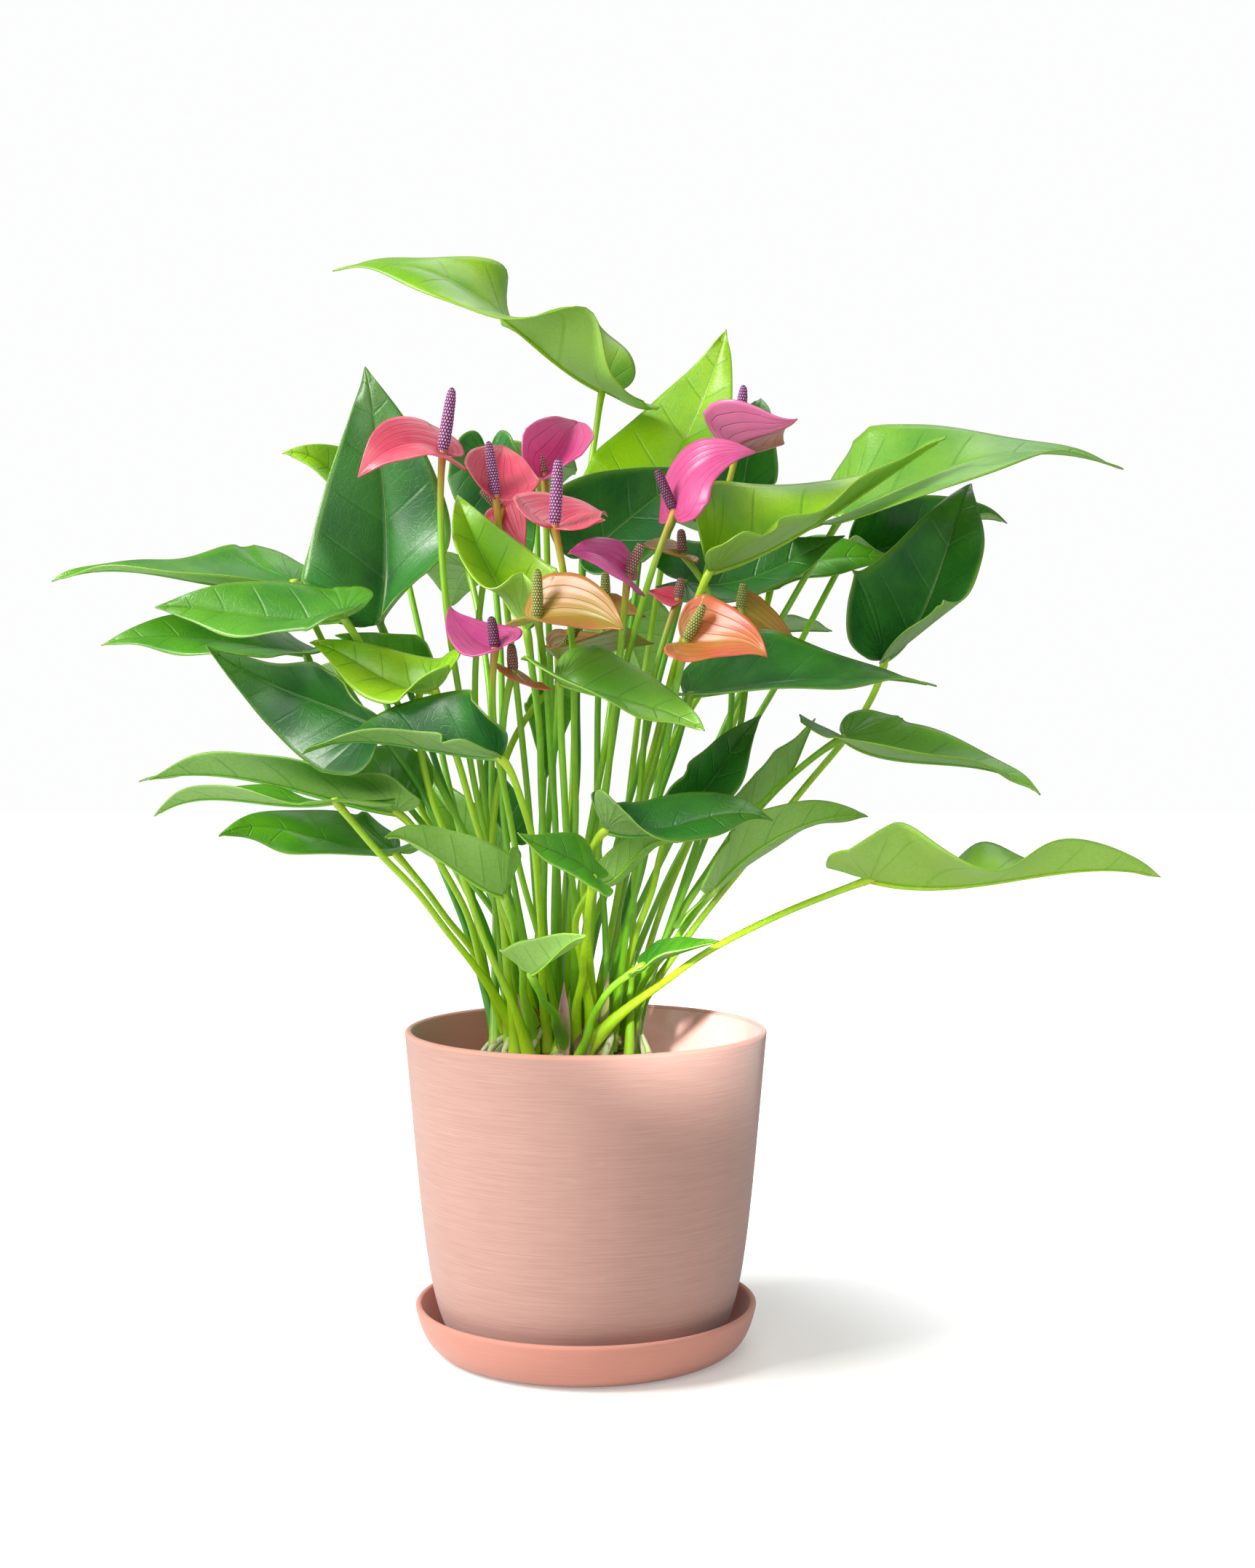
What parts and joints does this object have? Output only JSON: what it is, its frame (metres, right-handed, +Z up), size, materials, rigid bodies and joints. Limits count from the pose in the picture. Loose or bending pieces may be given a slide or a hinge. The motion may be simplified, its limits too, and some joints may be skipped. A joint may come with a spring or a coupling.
{
  "type": "potted anthurium",
  "caption": "Bushy flowering plant with glossy heart-shaped leaves and small coloured spathes, in a tapered clay pot on a saucer.",
  "frame": {"origin": "middle of the saucer's foot, on the surface that the pot and saucer stand on", "axes": "+Z up; +X to the right and +Y away from a person who looks at the side where most flowers show"},
  "size_m": [0.5832, 0.3168, 0.6173],
  "materials": {
    "saucer_clay": "satin",
    "pot_clay": "matte",
    "growing_mix": "matte",
    "rootstock": "matte",
    "leaf_lime": "satin",
    "leaf_light": "satin",
    "leaf_mid": "satin",
    "leaf_deep": "satin",
    "spathe_coral": "satin",
    "spathe_pink": "satin",
    "spathe_magenta": "satin",
    "spathe_olive": "satin",
    "spathe_peach": "satin",
    "spike_purple": "matte",
    "spike_dark": "matte",
    "spike_brown": "matte",
    "spike_green": "matte"
  },
  "bodies": {
    "root": {"saucer": "saucer_clay", "pot": "pot_clay", "soil": "growing_mix", "rootstock": "rootstock", "leaf_01": "leaf_lime", "leaf_02": "leaf_lime", "leaf_03": "leaf_deep", "leaf_04": "leaf_lime", "leaf_05": "leaf_deep", "leaf_06": "leaf_lime", "leaf_07": "leaf_lime", "leaf_08": "leaf_deep", "leaf_09": "leaf_deep", "leaf_10": "leaf_deep", "leaf_11": "leaf_deep", "leaf_12": "leaf_light", "leaf_13": "leaf_lime", "leaf_14": "leaf_light", "leaf_15": "leaf_deep", "leaf_16": "leaf_light", "leaf_17": "leaf_deep", "leaf_18": "leaf_light", "leaf_19": "leaf_mid", "leaf_20": "leaf_light", "leaf_21": "leaf_mid", "leaf_22": "leaf_mid", "leaf_23": "leaf_deep", "leaf_24": "leaf_deep", "leaf_25": "leaf_deep", "leaf_26": "leaf_lime", "leaf_27": "leaf_mid", "leaf_28": "leaf_mid", "leaf_29": "leaf_mid", "leaf_30": "leaf_light", "leaf_31": "leaf_light", "leaf_32": "leaf_light", "flower_01_stem": "spike_purple", "flower_01_spathe": "spathe_coral", "flower_02_stem": "spike_purple", "flower_02_spathe": "spathe_coral", "flower_03_stem": "spike_brown", "flower_03_spathe": "spathe_pink", "flower_04_stem": "spike_purple", "flower_04_spathe": "spathe_coral", "flower_05_stem": "spike_brown", "flower_05_spathe": "spathe_magenta", "flower_06_stem": "spike_purple", "flower_06_spathe": "spathe_magenta", "flower_07_stem": "spike_dark", "flower_07_spathe": "spathe_pink", "flower_08_stem": "spike_green", "flower_08_spathe": "spathe_olive", "flower_09_stem": "spike_green", "flower_09_spathe": "spathe_olive", "flower_10_stem": "spike_dark", "flower_10_spathe": "spathe_magenta", "flower_11_stem": "spike_green", "flower_11_spathe": "spathe_peach", "flower_12_stem": "spike_brown", "flower_12_spathe": "spathe_peach"}
  },
  "joints": []
}
